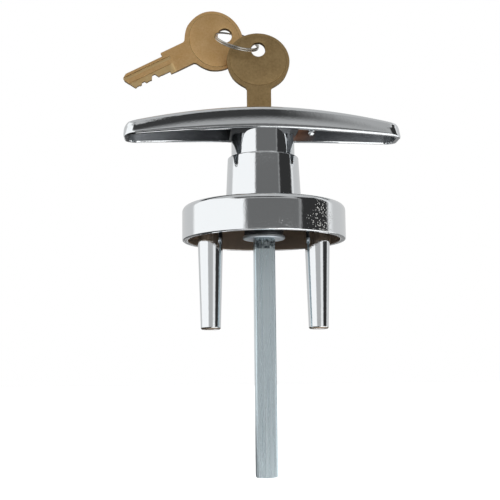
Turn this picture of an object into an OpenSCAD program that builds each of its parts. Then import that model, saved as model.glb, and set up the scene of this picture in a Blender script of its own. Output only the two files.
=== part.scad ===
// Garage door T handle lock. A T handle with a key lock in its stem turns a square shaft
// through a round rose, and the key throws a bolt that holds the handle still in the rose.
// Millimetres. The origin is the centre of the rose's rim, where it meets the door.
// +Z points out of the door along the shaft, and the T-bar lies along X.

/* [Rose] */
// Diameter of the rose where it meets the door
rose_d = 63.5; // [60:0.5:76]
// Height of the rose's cup
rose_h = 13.5; // [12.8:0.1:16]
// Radius of the rose's upper outer edge
rose_edge_r = 2.4; // [1.6:0.2:4]
// Thickness of the rose's side wall
rose_wall = 2.2; // [1.6:0.1:3]
// Thickness of the rose's top plate
plate_t = 1.7; // [1.5:0.1:2.4]
// Radius of the corner inside the rose
rose_inner_r = 3; // [1:0.25:4]
// Width of the bevel round the bottom of the rose's wall
rim_bevel = 0.5; // [0.2:0.1:0.8]

/* [Neck of the rose] */
// Diameter of the neck at its foot
neck_foot_d = 29.5; // [28.5:0.1:34]
// Diameter of the neck below its bevel
neck_top_d = 27.8; // [27.4:0.1:29]
// Height of the neck above the top plate
neck_h = 19.2; // [18.2:0.1:22]
// Width of the bevel round the top of the neck
neck_bevel = 0.5; // [0.3:0.1:1.5]
// Radius of the fillet at the foot of the neck
neck_fillet_r = 1.2; // [0.5:0.1:2.5]

/* [Mounting posts] */
// Distance between the centres of the two posts
post_spacing = 41.7; // [38:0.1:44]
// Length of the posts behind the rim
post_length = 34.3; // [20:0.1:45]
// Diameter of a post where it crosses the rim
post_rim_d = 9.8; // [9:0.1:11]
// Diameter of a post at its free end
post_end_d = 7.7; // [7:0.1:9]
// Radius of the rounded edge at a post's free end
post_end_r = 0.9; // [0.3:0.1:1.2]
// Diameter of the threaded hole in a post
post_hole_d = 4.2; // [3.2:0.1:4.6]
// Depth of the threaded hole in a post
post_hole_depth = 18; // [10:0.5:20]

/* [T-bar] */
// Length of the T-bar
bar_length = 109; // [95:0.5:125]
// Depth of the T-bar at its middle, from front to back
bar_mid_depth = 25.4; // [25.2:0.1:30]
// Depth of the T-bar near its ends
bar_end_depth = 15; // [12:0.1:18]
// Height of the T-bar at its middle
bar_mid_h = 9.2; // [8.8:0.1:12]
// Drop of the T-bar's top from its middle to its ends
bar_top_drop = 5.4; // [4:0.1:6]
// Drop of the T-bar's bottom edge from its middle to its ends
bar_bottom_drop = 1.8; // [0.5:0.1:2.5]
// Power of the curve by which the T-bar narrows
bar_taper_power = 1.3; // [1:0.1:2]
// Radius of the T-bar's upper edges
bar_top_r = 2.2; // [1:0.1:2.6]
// Radius of the T-bar's lower edges
bar_lip_r = 0.8; // [0.4:0.1:1]
// Radius of the T-bar's ends, seen from above
bar_corner_r = 4.5; // [2:0.1:5.5]
// Radius of the T-bar's ends, seen from the front
bar_nose_r = 2.6; // [1:0.1:3]
// Lean of the T-bar's walls over their height
bar_draft = 0.7; // [0.2:0.1:1.2]
// Rise of the T-bar's top from its edges to its middle line
bar_crown = 0.5; // [0.2:0.1:1]
// Thickness of the walls round the hollow arms
arm_wall = 2; // [1.4:0.1:2.6]
// Thickness of the roof over the hollow arms
arm_roof = 2.2; // [1.6:0.1:2.6]
// Distance from the axis to the inner end of the hollow
arm_start = 13; // [12.8:0.1:18]

/* [Stem] */
// Diameter of the stem between the neck and the T-bar
stem_d = 24.8; // [24.4:0.1:25]
// Height of the stem between the neck and the T-bar
stem_gap = 9.3; // [7:0.1:14]
// Diameter of the journal that turns in the neck
journal_d = 20.8; // [20.4:0.1:21]
// Length of the journal below the snap ring
journal_tail = 1.4; // [1:0.1:2]
// Diameter of the boss round the shaft's socket
boss_d = 15.2; // [14.4:0.1:16]
// Height of the boss's end above the rim
boss_end_z = 2; // [1.6:0.1:3]

/* [Square shaft] */
// Width of the square shaft
shaft_w = 7.94; // [7.5:0.01:8.2]
// Radius of the shaft's long edges
shaft_edge_r = 0.6; // [0.3:0.1:1]
// Length of the shaft behind the rim
shaft_length = 90; // [60:0.5:120]
// Height of the shaft's inner end above the rim
shaft_top_z = 17; // [14:0.5:18]
// Height of the turned cone at the shaft's free end
shaft_cone_h = 1.8; // [0.8:0.1:3]
// Diameter of the shaft's end face inside the cone
shaft_face_d = 7.4; // [6:0.1:7.4]
// Diameter of the spring pin through boss and shaft
shaft_pin_d = 3; // [2:0.1:3.4]
// Wall of the spring pin
shaft_pin_wall = 0.6; // [0.4:0.05:0.8]
// Height of the spring pin above the rim
shaft_pin_z = 5.2; // [4.8:0.1:6]
// Diameter of the washer round the shaft
washer_d = 16.4; // [15.6:0.1:20]
// Thickness of the washer round the shaft
washer_t = 1.4; // [0.8:0.1:1.5]

/* [Handle retention] */
// Thickness of the snap ring
snap_t = 1.2; // [0.8:0.1:1.5]
// Radial width of the snap ring
snap_width = 2.9; // [2:0.1:3.4]
// Depth of the snap ring's groove
snap_groove = 1.2; // [0.8:0.1:1.6]
// Opening of the snap ring, in degrees
snap_opening = 36; // [20:1:60]
// Radius of the snap ring's lugs
snap_lug_r = 2; // [1.6:0.1:2.4]
// Diameter of the tool holes in the snap ring's lugs
snap_hole_d = 1.6; // [1:0.1:2]
// Thickness of the conical spring washer
cone_t = 0.6; // [0.4:0.1:0.8]
// Free height of the conical spring washer
cone_h = 1; // [0.9:0.1:1.4]
// Radial width of the conical spring washer
cone_width = 2.9; // [2:0.1:4]

/* [Lock plug] */
// Diameter of the plug
plug_d = 12.7; // [12.5:0.1:12.9]
// Diameter of the plug's face
face_d = 16.4; // [14:0.1:18]
// Thickness of the plug's face
face_t = 1.6; // [1:0.1:2]
// Depth of the plug's face below the top of the T-bar
face_recess = 1.3; // [0.6:0.1:2]
// Diameter of the plug's tail
tail_d = 8; // [7:0.1:8.4]
// Solid end of the plug below the keyway
plug_end = 3.2; // [2.8:0.1:3.5]
// Depth of the groove that takes the retaining pin
plug_groove = 1.2; // [0.8:0.1:1.4]
// Diameter of the plug's retaining pin
retaining_pin_d = 1.6; // [1.2:0.1:1.6]
// Diameter of the drive pin on the plug's tail
drive_pin_d = 2; // [1.5:0.1:2.2]
// Offset of the key from the plug's axis
keyway_offset = -1.5; // [-1.6:0.1:-1]

/* [Locking bolt] */
// Travel of the bolt into the neck
bolt_travel = 2.4; // [1.6:0.1:2.4]
// Width of the bolt
bolt_w = 8; // [7.4:0.1:9]
// Height of the bolt
bolt_h = 4; // [3:0.1:4.6]
// Reach of the bolt behind the axis
bolt_back = 6; // [4.6:0.1:7]
// Height of the bolt's middle above the top plate
bolt_rise = 10.3; // [9.3:0.1:10.7]
// Number of notches round the neck
notch_count = 4; // [4:4:8]

/* [Wafers] */
// Number of wafers
wafer_count = 5; // [5:1:5]
// Distance from the plug's face to the first wafer
wafer_first = 4.1; // [3.6:0.1:4.6]
// Distance from wafer to wafer
wafer_pitch = 2.5; // [2.3:0.05:2.6]
// Thickness of a wafer
wafer_t = 1; // [0.8:0.1:1.1]
// Width of a wafer
wafer_w = 5; // [4.4:0.1:5.2]
// Travel of a wafer
wafer_travel = 1.2; // [0.8:0.1:1.3]
// Width of the ear on a wafer
ear_w = 1; // [0.8:0.1:1.2]
// Reach of the ear past the wafer's side
ear_reach = 1.9; // [1.7:0.1:2]
// Place of the ear's edge from the plug's axis
ear_right = 1.6; // [1.4:0.1:1.6]
// Mean diameter of a wafer spring
spring_d = 1.1; // [1:0.05:1.2]
// Wire diameter of a wafer spring
spring_wire = 0.28; // [0.2:0.02:0.3]
// Length of a wafer spring at rest
spring_length = 4.2; // [3.8:0.1:4.3]
// Turns of a wafer spring
spring_turns = 4; // [3:1:5]

/* [Keys] */
// Thickness of a key
key_t = 1.9; // [1.6:0.1:2]
// Width of the bow
bow_w = 25; // [22:0.1:26]
// Height of the bow
bow_h = 22.6; // [21:0.1:25]
// Distance from the key's hole to the top of the bow
bow_top = 6.7; // [6.2:0.1:8]
// Width of the flat border round the bow
bow_border = 1.2; // [0.8:0.1:2]
// Height of the coined bow above its border
bow_coin = 0.12; // [0.05:0.01:0.2]
// Diameter of the hole in the bow
key_hole_d = 5.8; // [5.7:0.1:6.4]
// Distance from the hole to the shoulder
shoulder_from_hole = 26.5; // [24:0.1:30]
// Width of the blade
blade_w = 6.8; // [6.4:0.1:6.9]
// Length of the blade below the shoulder
blade_length = 18.1; // [17.6:0.1:18.6]
// Step from the blade's back edge to the neck
neck_back_step = 1.55; // [0.8:0.05:2]
// Step from the blade's cut edge to the neck
neck_cut_step = 1.2; // [0.8:0.05:2]
// Slope length of the blade's tip on its cut edge
tip_length = 2.6; // [2:0.1:3]
// Slope length of the blade's tip on its back edge
tip_back_length = 1.7; // [1:0.1:2.4]
// Width of the blade's blunt tip
tip_flat = 1.1; // [0.6:0.1:1.6]
// Sharpness of the bow's blend into the neck
bow_blend = 2.6; // [2:0.2:8]
// Depths of the cuts in the blade, from the shoulder to the tip
cut_depths = [0.1, 1.7, 0.1, 0.8, 0.2]; // [0.1:0.1:1.8]
// Length of the flat floor of a cut
cut_flat = 1.2; // [1:0.1:1.3]
// Fall of a cut's sides for each millimetre along the blade
cut_slope = 1.8; // [1.4:0.1:2.4]
// Width of the groove milled along the blade
groove_w = 1.3; // [0.8:0.1:1.8]
// Depth of the groove milled along the blade
groove_depth = 0.45; // [0.2:0.05:0.6]
// Width of the blade's milled side, from its cut edge
milled_w = 2.6; // [2:0.1:3]
// Depth of the blade's milled side
milled_depth = 0.3; // [0.1:0.05:0.4]
// Radius of the cutter that milled it, left where the cutter lifts off above the shoulder
milling_r = 10; // [6:1:14]
// Lean of the spare key from upright, in degrees
spare_lean = 63; // [55:1:70]

/* [Split ring] */
// Mean diameter of the split ring
ring_d = 17.78; // [17.7:0.02:17.84]
// Diameter of the ring's wire
ring_wire = 0.7; // [0.5:0.02:0.72]
// Distance from turn to turn
ring_pitch = 1.12; // [1.12:0.01:1.14]
// Number of turns
ring_turns = 1.8; // [1.7:0.05:1.9]
// Tilt of the ring's axis towards the front, in degrees
ring_tilt = 38.5; // [38:0.1:39]
// Turn of the ring's tilt about the shaft, in degrees
ring_azimuth = 23.6; // [23:0.1:24.2]
// Place of the wire's first end round the ring, in degrees
ring_start = 146.2; // [144:0.2:148]

/* [Clearances] */
// Radial running clearance of turning pieces
running = 0.05; // [0.02:0.01:0.1]
// Clearance of pieces that are fitted and do not turn
fitted = 0.05; // [0.02:0.01:0.1]
// Clearance of pieces that slide
sliding = 0.1; // [0.05:0.01:0.15]
// Clearance between the key and what it passes
key_clear = 0.15; // [0.1:0.01:0.2]

/* [Hidden] */
$fn = 64;
// Small overlap that lets cuts pass a face
eps = 0.01;
// Steps of a quarter round, of a small lip, of a curved bow and of the T-bar between its ends
arc_steps = 6;
lip_steps = 3;
bow_steps = 40;
bar_steps = 9;
// Turn of the T-bar's upper edges before its crown starts, in degrees
bar_top_turn = 80;
// Rings and sides of the wire of a coil
coil_rings = 24;
spring_rings = 8;
wire_sides = 6;
// Points in each turn where the gap between turns is measured
gap_points = 120;

// Finishes
chrome_colour = "lightgray";
zinc_colour = "lightsteelblue";
steel_colour = "silver";
brass_colour = "darkgoldenrod";

// Heights up the axis
neck_top_z = rose_h + neck_h;
bar_bottom_z = neck_top_z + stem_gap;
bar_top_z = bar_bottom_z + bar_mid_h;
plate_bottom_z = rose_h - plate_t;
snap_top_z = plate_bottom_z - cone_h;
snap_bottom_z = snap_top_z - snap_t;
journal_end_z = snap_bottom_z - journal_tail;
bolt_z = rose_h + bolt_rise;
face_z = bar_top_z + bar_crown - face_recess;
blade_tip_z = face_z - blade_length;
keyway_end_z = blade_tip_z - 2 * key_clear;
plug_bottom_z = keyway_end_z - plug_end;
plug_groove_z = plug_bottom_z + plug_end / 2;
tail_bottom_z = bolt_z + bolt_h / 2 + sliding;

// Radii
rose_r = rose_d / 2;
journal_r = journal_d / 2;
neck_bore_r = journal_r + running;
plug_r = plug_d / 2;
plug_groove_r = plug_r - plug_groove;
retaining_pin_r = retaining_pin_d / 2;
retaining_pin_x = plug_groove_r + retaining_pin_r + sliding;
socket_w = shaft_w + 2 * sliding;
shaft_pin_r = shaft_pin_d / 2;
bar_half = bar_length / 2;

// The drive pin starts 45 degrees before the middle of its swing and ends 45 degrees past it
drive_swing = 45;
drive_throw = bolt_travel / (2 * sin(drive_swing));
drive_pin_r = drive_pin_d / 2;
bolt_tip_r = journal_r - sliding;
notch_r = bolt_tip_r + bolt_travel + 2 * key_clear;

// Wafers: the key's blade passes their windows, and they travel towards -X against their springs
blade_left = keyway_offset - blade_w / 2;
blade_right = keyway_offset + blade_w / 2;
wafer_r = plug_r - sliding;
window_left = blade_left - key_clear;
window_right = blade_right + key_clear + wafer_travel;
window_w = key_t + 2 * key_clear;
slot_t = wafer_t + sliding;
slot_w = wafer_w + sliding;
wafer_groove_r = plug_r + wafer_travel + key_clear;
ear_left = ear_right - ear_w;
ear_top = wafer_w / 2 + ear_reach;
spring_y = wafer_w / 2 + ear_reach / 2;
spring_bore_r = spring_d / 2 + spring_wire / 2 + sliding;
spring_seat_x = ear_left - sliding - spring_length;
spring_pitch = (spring_length - spring_wire) / spring_turns;

// Keys: each is drawn with its hole at the origin, its tip towards -Z and its cuts towards +X
bow_centre = bow_top - bow_h / 2;
key_hole = [keyway_offset, 0, face_z + shoulder_from_hole];
// The spare key's hole and the ring's middle, from the hole of the key in the lock
spare_from_key = [-12.98, 6, 7.71];
ring_from_key = [-8.39, 1.26, 4.01];

function wafer_z(i) = face_z - wafer_first - wafer_pitch * i;

// Points of an arc round c, from angle a to angle b
function arc(c, r, a, b, steps = arc_steps) =
    [for (i = [0:steps]) c + r * [cos(a + (b - a) * i / steps), sin(a + (b - a) * i / steps)]];

// How far a round of radius r falls away, at a distance d inside its end
function round_off(d, r) = d >= r ? 0 : r - sqrt(max(0, r * r - (r - d) * (r - d)));

// Faces of a skin over rings of n points, closed by a flat face at each end
function skin_faces(rings, n) = concat(
    [[for (j = [0:n - 1]) j]],
    [for (i = [0:rings - 2], j = [0:n - 1]) [i * n + j, (i + 1) * n + j, (i + 1) * n + (j + 1) % n]],
    [for (i = [0:rings - 2], j = [0:n - 1]) [i * n + j, (i + 1) * n + (j + 1) % n, i * n + (j + 1) % n]],
    [[for (j = [n - 1:-1:0]) (rings - 1) * n + j]]
);

// A skin over a list of rings, each a list of points
module skin(rings) {
    polyhedron(
        points = [for (ring = rings) each ring],
        faces = skin_faces(len(rings), len(rings[0])),
        convexity = 6
    );
}

// Points along the middle of a wound wire
function wire_path(r, pitch, turns) = [
    for (i = [0:turns * gap_points])
        let (t = i / gap_points)
        [r * cos(360 * t), r * sin(360 * t), pitch * t]
];

// Least gap between the turns of a wire of diameter d, over points half a turn or more apart
function least_gap(path, d) =
    min([
        for (i = [0:len(path) - 1], j = [i + gap_points / 2:len(path) - 1])
            norm(path[i] - path[j])
    ]) - d;

// Wire wound along Z: mean radius r, wire diameter d, from z = 0 up
module wound_wire(r, d, pitch, turns, rings) {
    steps = ceil(turns * rings);
    rise = atan2(pitch, 2 * PI * r);
    skin([
        for (i = [0:steps])
            let (a = 360 * turns * i / steps, z = pitch * turns * i / steps)
            [for (j = [0:wire_sides - 1])
                let (w = 360 * j / wire_sides, out = r + d / 2 * cos(w), up = d / 2 * sin(w))
                [
                    out * cos(a) + up * sin(rise) * sin(a),
                    out * sin(a) - up * sin(rise) * cos(a),
                    z + up * cos(rise)
                ]]
    ]);
}

// Square bar of width w with its long edges rounded by r
module square_bar(w, r, h) {
    c = w / 2 - r;
    linear_extrude(h)
        polygon(concat(
            arc([c, c], r, 0, 90),
            arc([-c, c], r, 90, 180),
            arc([-c, -c], r, 180, 270),
            arc([c, -c], r, 270, 360)
        ));
}

// A tapered post, hanging from the top plate, with a rounded free end
module post() {
    top_z = plate_bottom_z + plate_t / 2;
    taper = (post_rim_d - post_end_d) / 2 / post_length;
    end_r = post_end_d / 2;
    rotate_extrude()
        polygon(concat(
            [[0, top_z], [0, -post_length]],
            arc([end_r - post_end_r, post_end_r - post_length], post_end_r, 270, 360),
            [[post_rim_d / 2 + taper * top_z, top_z]]
        ));
}

// Cup and neck of the rose, turned about the axis
module rose_shell() {
    edge_c = [rose_r - rose_edge_r, rose_h - rose_edge_r];
    inner_c = [rose_r - rose_wall - rose_inner_r, plate_bottom_z - rose_inner_r];
    foot_c = [neck_foot_d / 2 + neck_fillet_r, rose_h + neck_fillet_r];
    neck_r = neck_top_d / 2;
    rotate_extrude($fn = 128)
        polygon(concat(
            [[rose_r - rim_bevel, 0], [rose_r, rim_bevel]],
            arc(edge_c, rose_edge_r, 0, 90),
            arc(foot_c, neck_fillet_r, 270, 180),
            [[neck_r, neck_top_z - neck_bevel], [neck_r - neck_bevel, neck_top_z]],
            [[neck_bore_r, neck_top_z], [neck_bore_r, plate_bottom_z]],
            arc(inner_c, rose_inner_r, 90, 0),
            [[rose_r - rose_wall, 0]]
        ));
}

module rose() color(chrome_colour) {
    notch_w = bolt_w + 4 * key_clear;
    notch_h = bolt_h + 4 * key_clear;
    difference() {
        union() {
            rose_shell();
            for (side = [-1, 1])
                translate([side * post_spacing / 2, 0, 0])
                    post();
        }
        for (side = [-1, 1])
            translate([side * post_spacing / 2, 0, -post_length - eps])
                cylinder(d = post_hole_d, h = post_hole_depth + eps);
        intersection() {
            for (i = [0:notch_count - 1])
                rotate([0, 0, 360 / notch_count * i])
                    translate([-notch_w / 2, 0, bolt_z - notch_h / 2])
                        cube([notch_w, notch_r + eps, notch_h]);
            translate([0, 0, bolt_z - notch_h])
                cylinder(r = notch_r, h = 2 * notch_h);
        }
    }
}

// Half depth, top and bottom of the T-bar at a distance x from the axis
function bar_depth(x) =
    (bar_mid_depth - (bar_mid_depth - bar_end_depth) * pow(abs(x) / bar_half, bar_taper_power)) / 2;
function bar_top(x) = bar_top_z - bar_top_drop * pow(x / bar_half, 2);
function bar_bottom(x) = bar_bottom_z - bar_bottom_drop * pow(x / bar_half, 2);

// Cross section of the T-bar at x
function bar_section(x) =
    let (
        inside = bar_half - abs(x),
        foot = bar_depth(x) - round_off(inside, bar_corner_r),
        head = foot - bar_draft,
        low = bar_bottom(x) + round_off(inside, bar_lip_r),
        high = bar_top(x) - round_off(inside, bar_nose_r),
        top_r = min(bar_top_r, (high - low) / 2),
        lip_r = min(bar_lip_r, (high - low) / 4),
        corners = concat(
            arc([foot - lip_r, low + lip_r], lip_r, -90, 0, lip_steps),
            arc([head - top_r, high - top_r], top_r, 0, bar_top_turn),
            [[0, high + bar_crown]],
            arc([top_r - head, high - top_r], top_r, 180 - bar_top_turn, 180),
            arc([lip_r - foot, low + lip_r], lip_r, 180, 270, lip_steps)
        )
    )
    [for (p = corners) [x, p[0], p[1]]];

// Places of the T-bar's sections along X, close together where its ends are round
function bar_stations() =
    let (
        straight = bar_half - bar_corner_r,
        half = concat(
            [for (i = [1:bar_steps]) straight * i / bar_steps],
            [for (i = [1:arc_steps]) straight + bar_corner_r * sin(90 * i / arc_steps)]
        ),
        n = len(half)
    )
    concat([for (i = [n - 1:-1:0]) -half[i]], [0], half);

// Cross section of the hollow in an arm at x
function hollow_section(x, far) =
    let (
        inside = far - x,
        wide = bar_depth(x) - arm_wall - round_off(inside, bar_corner_r - arm_wall),
        high = bar_top(x) - arm_roof,
        low = bar_bottom(x) - bar_lip_r,
        slim = wide - bar_draft
    )
    [[x, wide, low], [x, slim, high], [x, -slim, high], [x, -wide, low]];

module arm_hollow() {
    far = bar_half - arm_wall;
    bend = bar_corner_r - arm_wall;
    skin(concat(
        [for (i = [0:bar_steps])
            hollow_section(arm_start + (far - bend - arm_start) * i / bar_steps, far)],
        [for (i = [1:arc_steps]) hollow_section(far - bend + bend * sin(90 * i / arc_steps), far)]
    ));
}

// Stem, journal and boss of the handle, turned about the axis
module stem() {
    groove_r = journal_r - snap_groove;
    rotate_extrude($fn = 128)
        polygon([
            [0, boss_end_z],
            [boss_d / 2, boss_end_z],
            [boss_d / 2, journal_end_z],
            [journal_r, journal_end_z],
            [journal_r, snap_bottom_z - fitted],
            [groove_r, snap_bottom_z - fitted],
            [groove_r, snap_top_z + fitted],
            [journal_r, snap_top_z + fitted],
            [journal_r, neck_top_z],
            [stem_d / 2, neck_top_z],
            [stem_d / 2, bar_bottom_z + 2 * bar_lip_r],
            [0, bar_bottom_z + 2 * bar_lip_r]
        ]);
}

// Everything that is bored or cut out of the handle for the lock, the bolt and the shaft
module handle_bores() {
    translate([0, 0, face_z - face_t - sliding])
        cylinder(r = face_d / 2 + running, h = bar_mid_h);
    translate([0, 0, plug_bottom_z - sliding])
        cylinder(r = plug_r + running, h = face_z - plug_bottom_z);
    translate([0, 0, bolt_z])
        cylinder(r = tail_d / 2 + running, h = plug_bottom_z - bolt_z);
    for (turn = [0:90:270])
        rotate([0, 0, turn])
            translate([0, -slot_w / 2, wafer_z(wafer_count - 1) - slot_t])
                cube([wafer_groove_r, slot_w, face_z - wafer_z(wafer_count - 1)]);
    translate([-bolt_w / 2 - sliding, -bolt_back - sliding, bolt_z - bolt_h / 2 - sliding])
        cube([bolt_w + 2 * sliding, bolt_back + journal_d, bolt_h + 2 * sliding]);
    translate([-socket_w / 2, -socket_w / 2, boss_end_z - eps])
        cube([socket_w, socket_w, shaft_top_z + sliding - boss_end_z]);
    translate([0, 0, shaft_pin_z])
        rotate([90, 0, 0])
            cylinder(r = shaft_pin_r + fitted, h = journal_d, center = true);
    translate([retaining_pin_x, 0, plug_groove_z])
        rotate([90, 0, 0])
            cylinder(r = retaining_pin_r + fitted, h = stem_d, center = true);
}

module handle() color(chrome_colour)
    difference() {
        union() {
            skin([for (x = bar_stations()) bar_section(x)]);
            stem();
        }
        handle_bores();
        arm_hollow();
        mirror([1, 0, 0])
            arm_hollow();
    }

module square_shaft() color(zinc_colour)
    difference() {
        intersection() {
            translate([0, 0, -shaft_length])
                square_bar(shaft_w, shaft_edge_r, shaft_length + shaft_top_z);
            rotate_extrude()
                polygon([
                    [0, -shaft_length],
                    [shaft_face_d / 2, -shaft_length],
                    [shaft_w, shaft_cone_h - shaft_length],
                    [shaft_w, shaft_top_z],
                    [0, shaft_top_z]
                ]);
        }
        translate([0, 0, shaft_pin_z])
            rotate([90, 0, 0])
                cylinder(r = shaft_pin_r + fitted, h = 2 * shaft_w, center = true);
    }

// Slotted spring pin through the boss and the shaft
module shaft_pin() color(steel_colour)
    translate([0, 0, shaft_pin_z])
        rotate([90, 0, 0])
            difference() {
                cylinder(r = shaft_pin_r, h = boss_d - 2 * shaft_pin_wall, center = true);
                cylinder(r = shaft_pin_r - shaft_pin_wall, h = boss_d, center = true);
                translate([0, -shaft_pin_wall / 2, -boss_d / 2])
                    cube([shaft_pin_d, shaft_pin_wall, boss_d]);
            }

module shaft_washer() color(zinc_colour)
    translate([0, 0, boss_end_z - washer_t])
        difference() {
            edge = washer_t / 4;
            rotate_extrude()
                polygon([
                    [0, 0],
                    [washer_d / 2 - edge, 0],
                    [washer_d / 2, edge],
                    [washer_d / 2, washer_t - edge],
                    [washer_d / 2 - edge, washer_t],
                    [0, washer_t]
                ]);
            translate([-socket_w / 2, -socket_w / 2, -washer_t])
                cube([socket_w, socket_w, 3 * washer_t]);
        }

// Snap ring in the journal's groove, open at the back, with a lug at each end
module retaining_ring() color(steel_colour) {
    inner_r = journal_r - snap_groove + fitted;
    lug_turn = snap_opening / 2 + atan(snap_lug_r / (inner_r + snap_lug_r));
    lug_place = inner_r + snap_width - snap_lug_r / 2;
    translate([0, 0, snap_bottom_z])
        linear_extrude(snap_t)
            difference() {
                union() {
                    difference() {
                        circle(r = inner_r + snap_width);
                        polygon([
                            [0, 0],
                            2 * journal_d * [-sin(snap_opening / 2), cos(snap_opening / 2)],
                            2 * journal_d * [sin(snap_opening / 2), cos(snap_opening / 2)]
                        ]);
                    }
                    for (side = [-1, 1])
                        rotate(side * lug_turn)
                            translate([0, lug_place])
                                circle(r = snap_lug_r);
                }
                circle(r = inner_r);
                for (side = [-1, 1])
                    rotate(side * lug_turn)
                        translate([0, lug_place])
                            circle(d = snap_hole_d);
            }
}

// Conical washer that presses the stem's shoulder onto the neck
module spring_washer() color(steel_colour) {
    inner = journal_r + sliding;
    outer = inner + cone_width;
    translate([0, 0, snap_top_z])
        rotate_extrude()
            polygon([[inner, 0], [outer, cone_h - cone_t], [outer, cone_h], [inner, cone_t]]);
}

module lock_plug() color(brass_colour)
    difference() {
        union() {
            translate([0, 0, face_z - face_t])
                cylinder(d = face_d, h = face_t);
            translate([0, 0, plug_bottom_z])
                cylinder(r = plug_r, h = face_z - plug_bottom_z - eps);
            translate([0, 0, tail_bottom_z])
                cylinder(d = tail_d, h = plug_bottom_z - tail_bottom_z + eps);
            rotate([0, 0, -drive_swing])
                translate([drive_throw, 0, bolt_z - bolt_h / 2 + sliding])
                    cylinder(r = drive_pin_r, h = bolt_h + sliding);
        }
        translate([window_left, -window_w / 2, keyway_end_z])
            cube([blade_w + 2 * key_clear, window_w, face_z]);
        for (i = [0:wafer_count - 1])
            translate([0, 0, wafer_z(i)])
                wafer_slot();
        translate([0, 0, plug_groove_z])
            difference() {
                cylinder(r = plug_d, h = retaining_pin_d + 2 * sliding, center = true);
                cylinder(r = plug_groove_r, h = 2 * plug_end, center = true);
            }
    }

// Slot, ear pocket and spring bore of one wafer, about the wafer's middle
module wafer_slot() {
    translate([-plug_d, -slot_w / 2, -slot_t / 2])
        cube([2 * plug_d, slot_w, slot_t]);
    translate([ear_left - wafer_travel - sliding, 0, -slot_t / 2])
        cube([ear_w + wafer_travel + 2 * sliding, ear_top + sliding, slot_t]);
    translate([spring_seat_x, spring_y, 0])
        rotate([0, 90, 0])
            cylinder(r = spring_bore_r, h = ear_right - spring_seat_x);
}

// One wafer: a round-ended plate with a window for the key and an ear for its spring
module wafer(i) color(brass_colour)
    translate([0, 0, wafer_z(i) - wafer_t / 2])
        linear_extrude(wafer_t)
            difference() {
                union() {
                    intersection() {
                        circle(r = wafer_r);
                        square([plug_d, wafer_w], center = true);
                    }
                    translate([ear_left, 0])
                        square([ear_w, ear_top]);
                }
                translate([window_left, -window_w / 2])
                    square([window_right - window_left, window_w]);
            }

// Coil spring that pushes the ear of one wafer
module wafer_spring(i) color(steel_colour)
    translate([spring_seat_x + spring_wire / 2, spring_y, wafer_z(i)])
        rotate([0, 90, 0])
            wound_wire(spring_d / 2, spring_wire, spring_pitch, spring_turns, spring_rings);

module plug_retaining_pin() color(steel_colour)
    translate([retaining_pin_x, 0, plug_groove_z])
        rotate([90, 0, 0])
            cylinder(
                r = retaining_pin_r,
                h = 2 * sqrt(pow(journal_r, 2) - pow(retaining_pin_x + retaining_pin_r, 2)) - 2 * sliding,
                center = true
            );

// Bolt drawn back into the journal, with a cross slot for the plug's drive pin
module locking_bolt() color(zinc_colour) {
    slot_y = -drive_throw * sin(drive_swing);
    slot_near = drive_throw * cos(drive_swing) - drive_pin_r - sliding;
    slot_far = drive_throw + drive_pin_r + sliding;
    slot_half = drive_pin_r + key_clear;
    difference() {
        intersection() {
            translate([-bolt_w / 2, -bolt_back, bolt_z - bolt_h / 2])
                cube([bolt_w, bolt_back + journal_d, bolt_h]);
            translate([0, 0, bolt_z - bolt_h])
                cylinder(r = bolt_tip_r, h = 2 * bolt_h);
        }
        translate([slot_near, slot_y - slot_half, bolt_z - bolt_h])
            cube([slot_far - slot_near, 2 * slot_half, 2 * bolt_h]);
    }
}

// Half width of the round bow of a key at a height z above its hole
function bow_half(z) = bow_w / 2 * sqrt(max(0, 1 - pow((z - bow_centre) / (bow_h / 2), 2)));

// The two half widths blended into one curve
function blended(bow, neck) = pow(pow(bow, bow_blend) + pow(neck, bow_blend), 1 / bow_blend);

// Edge of the bow and neck on one side, from the bow's top down to the shoulder
function bow_edge(side, neck_half) = [
    for (i = [0:bow_steps])
        let (
            lower = i >= bow_steps / 2,
            z = lower
                ? bow_centre - (shoulder_from_hole + bow_centre) * (2 * i / bow_steps - 1)
                : bow_centre + bow_h / 2 * cos(180 * i / bow_steps),
            fade = lower ? 2 * i / bow_steps - 1 : 0
        )
        [side * blended(bow_half(z), neck_half * min(1, 3 * fade)), z]
];

// Cut edge of the blade, from the shoulder to the tip, one cut for each wafer
function blade_cuts() = [
    for (i = [0:wafer_count - 1])
        let (
            z = -shoulder_from_hole - wafer_first - wafer_pitch * i,
            floor = blade_w / 2 - cut_depths[i],
            run = cut_flat / 2 + cut_depths[i] / cut_slope
        )
        each [
            [blade_w / 2, z + run],
            [floor, z + cut_flat / 2],
            [floor, z - cut_flat / 2],
            [blade_w / 2, z - run]
        ]
];

// Outline of a whole key
module key_outline() {
    shoulder_z = -shoulder_from_hole;
    tip_z = shoulder_z - blade_length;
    right = bow_edge(1, blade_w / 2 + neck_cut_step);
    left = bow_edge(-1, blade_w / 2 + neck_back_step);
    polygon(concat(
        right,
        [[blade_w / 2, shoulder_z]],
        blade_cuts(),
        [[blade_w / 2, tip_z + tip_length], [tip_flat - blade_w / 3, tip_z], [-blade_w / 3, tip_z]],
        [[-blade_w / 2, tip_z + tip_back_length], [-blade_w / 2, shoulder_z]],
        [for (i = [len(left) - 1:-1:1]) left[i]]
    ));
}

// The coined face of the bow
module coined_face() {
    polygon([
        for (i = [0:bow_steps - 1])
            let (a = 360 * i / bow_steps)
            [(bow_w / 2 - bow_border) * cos(a), bow_centre + (bow_h / 2 - bow_border) * sin(a)]
    ]);
}

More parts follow.
